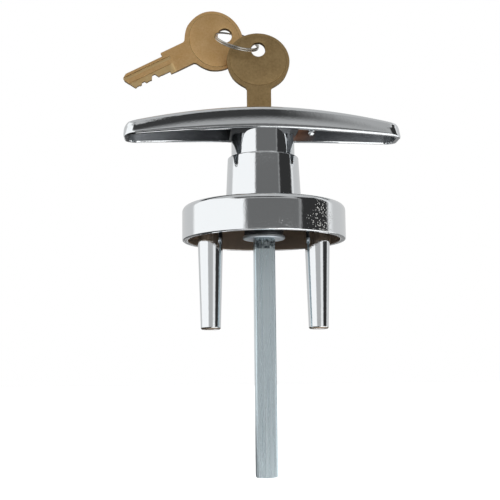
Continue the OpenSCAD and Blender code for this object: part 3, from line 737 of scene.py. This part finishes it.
def add_stem(bm, s):
    """The round stem: bore for the plug, hole for the shaft, journal, snap ring's groove and bolt's slot."""
    r, journal = s.stem / 2 / MM, 10.4
    plug_floor, shaft_hole, foot, top = 21.6, 4.1, 2, 43.6
    tail, tail_top, tail_round, lead = 7.6, 8.2, 0.4, 0.3
    groove, groove_low, groove_high = 9.2, 9.55, 10.85
    shoulder, shoulder_round = 32.7, 0.3
    outline = (
        [(PLUG_BORE, plug_floor), (shaft_hole, plug_floor), (shaft_hole, foot)]
        + arc(tail - tail_round, foot + tail_round, tail_round, 270, 360, 3)
        + [(tail, tail_top), (journal - lead, tail_top), (journal, tail_top + lead)]
        + [(journal, groove_low), (groove, groove_low), (groove, groove_high), (journal, groove_high)]
        + [(journal, shoulder)]
        + arc(r - shoulder_round, shoulder + shoulder_round, shoulder_round, 270, 360, 4)
        + [(r, top), (PLUG_BORE, top)]
    )
    shank = bmesh.new()
    spun(shank, outline, 128)
    close(shank)
    slot, slot_middle, slot_size = bmesh.new(), (0, 9, 23.8), (8.2, 8, 4.2)
    block(slot, slot_middle, slot_size)
    carved(shank, "shank", slot, bm)


def add_gate_stub(bm):
    """The ragged stub of a casting gate, left under the right arm."""
    r, place, stretch = 1.15, Vector((18.1, -8.5, 41.3)), (1, 0.9, 1.2, 1)
    ragged, up_wave, along_wave = Vector((0.35, 0, 0.3)) * MM, 5 / MM, 4 / MM
    move = Matrix.Translation(place * MM) @ Matrix.Diagonal(stretch)
    stub = bmesh.ops.create_icosphere(bm, subdivisions=3, radius=r * MM, matrix=move)["verts"]
    for vert in stub:
        vert.co += ragged * math.sin(vert.co.z * up_wave) * math.cos(vert.co.x * along_wave)


class THANDLE_OT_handle(bpy.types.Operator):
    """Makes the chrome handle: the hollow, tapered T-bar and its round stem"""

    bl_idname = "thandle.handle"
    bl_label = "Handle"

    def execute(self, context):
        s = context.scene.thandle_handle
        bm = bored_bar(s)
        add_stem(bm, s)
        add_gate_stub(bm)
        close(bm)
        # Painted shade: the inside is dark near the stem and lighter towards the arms' ends along X; rust has
        # run from the steel inside at one place.
        ends, rust, rust_reach = ((-22, -44, 0.5), (8, 52, 0.34)), (14, 6, 46), 9
        raw = raw_casting("As-cast zinc with old grease", "#24262A", "#92969A", ends, rust, rust_reach)
        far = s.length / 2 / MM - BAR_WALL
        lip, roof_reach, hub_reach, stem_top, stem_reach = 0.6, 8, 0.05, 32, 11

        def unpolished_or_shaded(p, normal):
            depth, low, high = bar_section(s, p.x)
            along = HUB - hub_reach < abs(p.x) < far - SKIN and lip < p.z - low < roof_reach
            within = abs(p.y) < depth - BAR_WALL + SKIN and p.z < high - BAR_ROOF + SKIN
            # Painted shade: the flat underside of the hub beside the stem takes the dark inside finish.
            shaded_under_hub = normal.z < -0.9 and abs(p.x) < HUB + hub_reach and abs(p.z - BAR_BASE) < 0.5
            in_neck = p.z < stem_top and p.xy.length < stem_reach
            return in_neck or shaded_under_hub or (along and within)

        place_piece(
            bm, "handle_casting", "handle", "handle", [chrome_plate(), raw], inside=unpolished_or_shaded
        )
        return {"FINISHED"}


# Keys and ring


def key_outline(s):
    """Outline of a key with its hole at the origin, tip down and cuts to the right, in millimetres."""
    wide, tall = s.bow_width / 2 / MM, s.bow_height / 2 / MM
    middle, tip = BOW_TOP - tall, -KEY_SHOULDER - 18.1
    blade, blend, steps = 3.4, 2.6, 56
    right_step, left_step = 1.2, 1.55
    first_cut, cut_spacing, cut_half, cut_slope = 4.1, 2.5, 0.6, 1.8
    tip_right, tip_left, tip_flat, tip_off = 2.6, 1.7, 1.1, -blade * 2 / 3

    def edge(side, neck):
        points = []
        for i in range(steps + 1):
            fade = max(0, 2 * i / steps - 1)
            rise = tall * max(0, math.cos(math.pi * i / steps))
            z = middle + rise - (KEY_SHOULDER + middle) * fade
            bow = wide * math.sqrt(max(0, 1 - ((z - middle) / tall) ** 2))
            points.append((side * (bow**blend + (neck * min(1, 3 * fade)) ** blend) ** (1 / blend), z))
        return points

    cuts = []
    for i, depth in enumerate((0.1, 1.7, 0.1, 0.8, 0.2)):
        z, run = -KEY_SHOULDER - first_cut - cut_spacing * i, cut_half + depth / cut_slope
        floor = blade - depth
        cuts += [(blade, z + run), (floor, z + cut_half), (floor, z - cut_half), (blade, z - run)]
    return (
        edge(1, blade + right_step)
        + [(blade, -KEY_SHOULDER)]
        + cuts
        + [(blade, tip + tip_right), (tip_off + tip_flat, tip), (tip_off, tip), (-blade, tip + tip_left)]
        + [(-blade, -KEY_SHOULDER)]
        + edge(-1, blade + left_step)[:0:-1]
    )


def plate(bm, outline, hole, thick):
    """A flat plate in XZ with a round hole at the origin, in millimetres."""
    front = loop(bm, [(x * MM, -thick / 2 * MM, z * MM) for x, z in outline])
    turn = Matrix.Translation((0, -thick / 2 * MM, 0)) @ Matrix.Rotation(math.pi / 2, 4, "X")
    ring = bmesh.ops.create_circle(bm, cap_ends=False, radius=hole * MM, segments=48, matrix=turn)["verts"]
    rim = list({e for v in ring for e in v.link_edges})
    faces = bmesh.ops.triangle_fill(bm, edges=front + rim, use_beauty=True, use_dissolve=False)["geom"]
    faces = [f for f in faces if isinstance(f, bmesh.types.BMFace)]
    drawn = bmesh.ops.extrude_face_region(bm, geom=faces)["geom"]
    bmesh.ops.translate(
        bm, verts=[v for v in drawn if isinstance(v, bmesh.types.BMVert)], vec=(0, thick * MM, 0)
    )


def milled_blank(s, name):
    """A key blank with its hole and cuts, a groove milled in each side and its cut edge milled thinner."""
    thick = s.thickness / MM
    blank = bmesh.new()
    plate(blank, key_outline(s), KEY_HOLE, thick)
    close(blank)
    mill_end, groove_top, groove_x, groove_wide, groove_thick = -47.2, -23.9, -1.7, 1.3, 0.9
    thin_x, thin_wide, thin_depth, wheel = 3.4, 5.2, 0.3, 10
    groove_z, thin_z = (groove_top + mill_end) / 2, (mill_end - KEY_SHOULDER) / 2
    mill = bmesh.new()
    for side in (-1, 1):
        face = side * thick / 2
        block(mill, (groove_x, face, groove_z), (groove_wide, groove_thick, groove_top - mill_end))
        block(mill, (thin_x, face, thin_z), (thin_wide, 2 * thin_depth, -KEY_SHOULDER - mill_end))
        run_out = Vector((thin_x, face + side * (wheel - thin_depth), -KEY_SHOULDER)) * MM
        rod(mill, wheel, thin_wide, 160, Matrix.Translation(run_out) @ Matrix.Rotation(math.pi / 2, 4, "Y"))
    bm = carved(blank, name + "_blank", mill)
    close(bm)
    soften(bm, 0.1 * MM)
    return bm


def add_coined_face(bm, s, name):
    """The raised, coined face on both sides of a key's bow."""
    rim, raised, steps = 1.2, 0.34, 72
    wide, tall = s.bow_width / 2 / MM - rim, s.bow_height / 2 / MM - rim
    middle = BOW_TOP - s.bow_height / 2 / MM
    turns = [2 * math.pi * i / steps for i in range(steps)]
    oval = [(wide * math.cos(a), middle + tall * math.sin(a)) for a in turns]
    coin = bmesh.new()
    plate(coin, oval, KEY_HOLE, s.thickness / MM + raised)
    close(coin)
    soften(coin, 0.25 * MM, segments=3)
    joined = bpy.data.meshes.new(name + "_coin")
    coin.to_mesh(joined)
    coin.free()
    bm.from_mesh(joined)
    bpy.data.meshes.remove(joined)


def make_key(s, name, node, brasses, move):
    """One key in its place, with brasses for its faces, its sheared edges and its milled grooves."""
    bm = milled_blank(s, name)
    add_coined_face(bm, s, name)
    bmesh.ops.transform(bm, matrix=move, verts=bm.verts)
    bmesh.ops.recalc_face_normals(bm, faces=bm.faces)
    back, half_thick, blade_top = move.inverted(), s.thickness / 2 / MM, -20

    def worked(p, normal):
        spot = back @ (p * MM) / MM
        milled = abs(spot.y) < half_thick - 0.02 and spot.z < blade_top
        return 1 if abs(normal.y) < 0.8 else 2 if milled else 0

    place_piece(bm, name, node, node, brasses, smooth_angle=20, inside=worked)


class THANDLE_OT_keys(bpy.types.Operator):
    """Makes the two stamped brass keys"""

    bl_idname = "thandle.keys"
    bl_label = "Keys"

    def execute(self, context):
        s = context.scene.thandle_keys
        lean = math.radians(63)
        # Sheared and coined edges are duller than the faces and painted darker as painted shade, and milled
        # grooves are fresh, brighter metal with a painted highlight.
        edge = plain_metal("Sheared key brass", "#6E5733", "#9A7C4A", 0.4, 0.6, 0.4)
        milled = plain_metal("Freshly milled key brass", "#FFD48E", "#FFE4B0", 0.25, 0.4, 1.2)
        # One brass in two tones: painted shade on the upright key and painted light on the leaning key.
        shaded_upright_brass = key_brass("Dull key brass, upright", "#A88C60", "#CCAE7E", 0)
        upright = Matrix.Translation(UPRIGHT_PLACE) @ Matrix.Rotation(math.pi, 4, "Z")
        make_key(s, "key_upright", "key_in_lock", [shaded_upright_brass, edge, milled], upright)
        lit_hanging_brass = key_brass("Dull key brass, leaning", "#EABA7A", "#FFD89E", lean)
        hanging = Matrix.Translation(HANGING_PLACE) @ Matrix.Rotation(lean, 4, "Y")
        make_key(s, "key_hanging", "spare_key", [lit_hanging_brass, edge, milled], hanging)
        return {"FINISHED"}


class THANDLE_OT_ring(bpy.types.Operator):
    """Makes the nickel-plated split ring"""

    bl_idname = "thandle.ring"
    bl_label = "Split ring"

    def execute(self, context):
        s = context.scene.thandle_keys
        pitch, turns, end_round = 0.78 * MM, 1.8, 0.15 * MM
        bm = bmesh.new()
        wound(bm, s.ring_wire / 2, s.ring_diameter / 2, pitch, turns, steps=130, sides=14)
        close(bm)
        ends = [f for f in bm.faces if len(f.verts) > 4]
        bmesh.ops.bevel(
            bm,
            geom=[e for f in ends for e in f.edges],
            offset=end_round,
            segments=2,
            profile=0.5,
            affect="EDGES",
            material=-1,
        )
        heading, tilt, split = (math.radians(a) for a in (23.6, 38.5, 146.2))
        move = (
            Matrix.Translation(RING_PLACE)
            @ Matrix.Rotation(heading, 4, "Z")
            @ Matrix.Rotation(tilt, 4, "X")
            @ Matrix.Rotation(split, 4, "Z")
        )
        bmesh.ops.transform(bm, matrix=move, verts=bm.verts)
        # Nickel is warmer than chrome, and the wire under it leaves the plate a little dull.
        nickel = plain_metal("Nickel-plated spring wire", "#A8A49C", "#C9C6BE", 0.16, 0.3, 1.2)
        place_piece(bm, "ring_wire", "split_ring", "split_ring", [nickel], smooth_angle=60)
        return {"FINISHED"}


# Lock and shaft


class THANDLE_OT_springs(bpy.types.Operator):
    """Makes the five coil springs behind the wafers"""

    bl_idname = "thandle.springs"
    bl_label = "Wafer springs"

    def execute(self, context):
        wire, across, turns, pushed = 0.28 * MM, 1.1 * MM, 4, 1.15 * MM
        # Hard-drawn wire is grey with a soft shine.
        music_wire = plain_metal("Hard-drawn spring wire", "#6F7072", "#8D8E90", 0.3, 0.45, 1)
        for number in range(1, 6):
            low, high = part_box(f"wafer_spring_{number}")
            middle, long = (low + high) / 2, high.x - low.x
            bm = bmesh.new()
            wound(bm, wire / 2, across / 2, (long - wire) / turns, turns, steps=24 * turns, sides=10)
            close(bm)
            move = Matrix.Translation(middle) @ Matrix.Rotation(math.pi / 2, 4, "Y")
            bmesh.ops.transform(bm, matrix=move, verts=bm.verts)
            spring = place_piece(
                bm,
                f"coil_{number}",
                "lock_plug",
                f"wafer_spring_{number}",
                [music_wire],
                smooth_angle=60,
            )
            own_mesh(spring)
        return {"FINISHED"}


class THANDLE_OT_metalwork(bpy.types.Operator):
    """Gives the shaft, the lock and the small pieces their finishes"""

    bl_idname = "thandle.metalwork"
    bl_label = "Shaft and lock"

    def execute(self, context):
        zinc = drawn_zinc()
        # Zinc on stampings is pale and matt, bare spring steel dark, and turned brass has a soft shine.
        flat_zinc = plain_metal("Clear zinc plate on stampings", "#B6BEC4", "#D0D7DC", 0.35, 0.55, 1.5)
        steel = plain_metal("Bare spring steel", "#6F7072", "#8D8E90", 0.3, 0.45, 1)
        brass = plain_metal("Turned brass", "#A98B4B", "#C6A865", 0.22, 0.36, 0.8)
        finishes = {
            "square_shaft": zinc,
            "shaft_washer": flat_zinc,
            "locking_bolt": flat_zinc,
            "lock_plug": brass,
        }
        finishes.update({f"wafer_{i}": brass for i in range(1, 6)})
        finishes.update(
            {n: steel for n in ("shaft_pin", "retaining_ring", "spring_washer", "plug_retaining_pin")}
        )
        for name, material in finishes.items():
            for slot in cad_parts[name].material_slots:
                slot.material = material
        return {"FINISHED"}


# Stage


def seen_directly(tree):
    """1 on camera, glossy and transmission rays, and 0 on light that falls on the object."""
    path = add_node(tree, "LightPath").outputs
    first = add_node(tree, "Math", {0: path["Is Camera Ray"], 1: path["Is Glossy Ray"]}, operation="MAXIMUM")
    return add_node(tree, "Math", {0: first, 1: path["Is Transmission Ray"]}, operation="MAXIMUM")


def glow_card(name, code, strength, turns, fades, levels):
    """A plain glowing card that fades out towards its upright edges, over angles in degrees from the front,
    and between pairs of heights in millimetres."""
    material, tree, shader, place = start_material(name)
    tree.nodes.remove(shader)
    spot = add_node(tree, "SeparateXYZ", {"Vector": place}).outputs
    ahead = add_node(tree, "Math", {0: spot["Y"], 1: -1}, operation="MULTIPLY")
    turn = add_node(tree, "Math", {0: spot["X"], 1: ahead}, operation="ARCTAN2")
    ramps = [
        (turn, math.radians(turns[0]), math.radians(turns[0] + fades[0])),
        (turn, math.radians(turns[1]), math.radians(turns[1] - fades[1])),
    ]
    ramps += [(spot["Z"], start * MM, end * MM) for start, end in levels]
    shown = 1
    for value, start, end in ramps:
        ends = {"Value": value, "From Min": start, "From Max": end}
        ramp = add_node(tree, "MapRange", ends, interpolation_type="SMOOTHSTEP")
        shown = add_node(tree, "Math", {0: ramp, 1: shown}, operation="MULTIPLY")
    glow = add_node(tree, "Emission", {"Color": linear(code), "Strength": strength})
    clear = add_node(tree, "BsdfTransparent")
    both = add_node(tree, "MixShader", {0: shown, 1: clear, 2: glow})
    feed(tree, tree.nodes["Material Output"], {"Surface": both})
    return material


def card(name, lower, upper, turns, code, strength=1.0, fades=(5, 5), levels=()):
    """A card round the object that only shows in its reflections: two points of radius and height, in
    millimetres, and two turns from the front, in degrees."""
    bm = bmesh.new()
    start, angle = math.radians(turns[0]), math.radians(turns[1] - turns[0])
    ends = [(r * MM * math.sin(start), -r * MM * math.cos(start), z * MM) for r, z in (lower, upper)]
    verts = [bm.verts.new(end) for end in ends]
    edge = bm.edges.new(verts)
    steps = max(2, math.ceil(angle / 0.1))
    bmesh.ops.spin(bm, geom=verts + [edge], cent=(0, 0, 0), axis=AXIS, angle=angle, steps=steps)
    piece = as_object(bm, name)
    piece.data.materials.append(glow_card(name, code, strength, turns, fades, levels))
    piece.visible_camera = piece.visible_diffuse = piece.visible_shadow = False
    piece.visible_transmission = False


class THANDLE_OT_stage(bpy.types.Operator):
    """Makes the floor, the white surroundings, the cards that the chrome mirrors, the lamps and the camera"""

    bl_idname = "thandle.stage"
    bl_label = "Stage"

    def execute(self, context):
        scene, s = context.scene, context.scene.thandle_stage
        scene.view_settings.view_transform = "Standard"
        self.surroundings(scene, s)
        self.floor(s)
        self.cards(s)
        self.lamps(scene)
        self.camera(scene, s)
        return {"FINISHED"}

    def surroundings(self, scene, s):
        world = bpy.data.worlds.new("White surroundings")
        world.use_nodes = True
        scene.world = world
        tree = world.node_tree
        light = add_node(tree, "MapRange", {"Value": seen_directly(tree), "To Min": s.daylight})
        feed(tree, tree.nodes["Background"], {"Color": linear("#FFFFFF"), "Strength": light})

    def floor(self, s):
        bm, half_width = bmesh.new(), 6
        bmesh.ops.create_grid(
            bm, x_segments=1, y_segments=1, size=half_width, matrix=Matrix.Translation((0, 0, -s.floor_drop))
        )
        floor = as_object(bm, "floor")
        # Matt paper has no shine, and glows a little to the eye so that it stays white.
        material = bpy.data.materials.new("Matt white paper")
        material.use_nodes = True
        tree = material.node_tree
        glow = add_node(tree, "MapRange", {"Value": seen_directly(tree), "To Max": 0.7})
        feed(
            tree,
            tree.nodes["Principled BSDF"],
            {
                "Base Color": linear("#F2F2F2"),
                "Roughness": 0.9,
                "Emission Color": linear("#FFFFFF"),
                "Emission Strength": glow,
            },
        )
        floor.data.materials.append(material)

    def cards(self, s):
        """Walls and drapes by rise and turn from the front, a ceiling, and cloths just above the floor."""
        far = s.card_distance / MM
        level, off_floor = 20, 10
        floor = off_floor - s.floor_drop / MM

        def band(name, rises, turns, code, strength=1.0, fades=(8, 8), r=far, soft=0):
            low, high = (level + r * math.tan(math.radians(rise)) for rise in rises)
            inner = level + r * math.tan(math.radians(rises[0] + soft))
            card(name, (r, low), (r, high), turns, code, strength, fades, [(low, inner)] if soft else [])

        behind, middle, nearer = far + 90, far + 60, far - 40
        band("Pale drape behind on the left", (-12, 44), (-182, -84), "#D8D8D8", fades=(1, 10), r=behind)
        band("Pale drape behind on the right", (-12, 44), (98, 182), "#D8D8D8", fades=(10, 1), r=behind)
        band("Softbox on the left", (-12, 44), (-122, -20), "#FFFFFF", 1.2, (8, 6), middle)
        band("Pale lower wall", (-12, 6), (-30, 24), "#C0C0C0")
        band("Grey wall in front", (6, 20), (-34, 50), "#747474")
        band("Pale upper wall", (20, 54), (-50, 60), "#B8B8B8")
        band("Black flag on the right", (-12, 46), (42, 98), "#383838", r=nearer)
        band("Dark cloth above the camera", (26, 52), (-60, 40), "#404040", 1.0, (8, 24), nearer, 14)
        high, rises = 2.4 * far, (math.radians(47), math.radians(87))
        edge, crown = ((high * math.cos(a), level + high * math.sin(a)) for a in rises)
        card("Pale ceiling", edge, crown, (-182, 182), "#C8C8C8")

        def cloth(name, near, away, turns, code, fades):
            card(name, (near, floor), (away, floor), turns, code, fades=fades)

        cloth("Dark cloth on the floor", 80, 900, (-182, 5), "#202020", (1, 8))
        cloth("Grey floor in front", 330, 1470, (-12, 16), "#808080", (6, 6))
        cloth("Grey floor behind on the left", 240, 1400, (-182, -110), "#909090", (1, 8))
        cloth("Grey floor behind on the right", 150, 1400, (110, 182), "#909090", (8, 1))

    def lamps(self, scene):
        aim = Vector((0, 0, 0.02))
        lamps = (
            ("Lamp above", (-0.1, -0.1, 1.0), 0.5, 5.0),
            ("Lamp on the left", (-0.75, -0.25, 0.2), 0.5, 2.0),
        )
        for name, place, size, power in lamps:
            data = bpy.data.lights.new(name, "AREA")
            data.shape, data.size, data.energy = "SQUARE", size, power
            lamp = bpy.data.objects.new(name, data)
            lamp.location = place
            lamp.rotation_euler = (aim - lamp.location).to_track_quat("-Z", "Y").to_euler()
            lamp.visible_glossy = False
            scene.collection.objects.link(lamp)

    def camera(self, scene, s):
        yaw, pitch, roll = s.camera_turn
        ahead = Vector(
            (math.sin(yaw) * math.cos(pitch), math.cos(yaw) * math.cos(pitch), math.sin(pitch))
        )
        level = Vector((math.cos(yaw), -math.sin(yaw), 0))
        down = ahead.cross(level)
        right = level * math.cos(roll) + down * math.sin(roll)
        below = down * math.cos(roll) - level * math.sin(roll)
        data = bpy.data.cameras.new("Camera")
        data.sensor_width, data.lens = 36, s.lens
        data.clip_start = 0.01
        camera = bpy.data.objects.new("Camera", data)
        turn = Matrix((right, -below, -ahead)).transposed().to_4x4()
        camera.matrix_world = Matrix.Translation(s.camera_place) @ turn
        scene.collection.objects.link(camera)
        scene.camera = camera


class THANDLE_PT_panel(bpy.types.Panel):
    """Lists the pieces of the T handle lock and their settings"""

    bl_idname = "THANDLE_PT_panel"
    bl_label = "T handle lock"
    bl_space_type = "VIEW_3D"
    bl_region_type = "UI"
    bl_category = "T handle"

    def draw(self, context):
        for group, operator in LAYOUT:
            box = self.layout.box()
            box.operator(operator)
            if group:
                settings = getattr(context.scene, group)
                for name in settings.bl_rna.properties.keys():
                    if name not in ("rna_type", "name"):
                        box.prop(settings, name)


SETTINGS = {
    "thandle_rose": RoseSettings,
    "thandle_handle": HandleSettings,
    "thandle_keys": KeySettings,
    "thandle_finish": FinishSettings,
    "thandle_stage": StageSettings,
}
LAYOUT = (
    ("thandle_rose", "thandle.rose"),
    ("thandle_handle", "thandle.handle"),
    ("thandle_keys", "thandle.keys"),
    (None, "thandle.ring"),
    (None, "thandle.springs"),
    ("thandle_finish", "thandle.metalwork"),
    ("thandle_stage", "thandle.stage"),
)
CLASSES = (
    *SETTINGS.values(),
    THANDLE_OT_rose,
    THANDLE_OT_handle,
    THANDLE_OT_keys,
    THANDLE_OT_ring,
    THANDLE_OT_springs,
    THANDLE_OT_metalwork,
    THANDLE_OT_stage,
    THANDLE_PT_panel,
)


def register():
    for item in CLASSES:
        bpy.utils.register_class(item)
    for name, group in SETTINGS.items():
        setattr(bpy.types.Scene, name, PointerProperty(type=group))


def unregister():
    for name in SETTINGS:
        delattr(bpy.types.Scene, name)
    for item in reversed(CLASSES):
        bpy.utils.unregister_class(item)


def main():
    register()
    bpy.ops.thandle.rose()
    bpy.ops.thandle.handle()
    bpy.ops.thandle.metalwork()
    bpy.ops.thandle.keys()
    bpy.ops.thandle.ring()
    bpy.ops.thandle.springs()
    bpy.ops.thandle.stage()


if __name__ == "__main__":
    main()
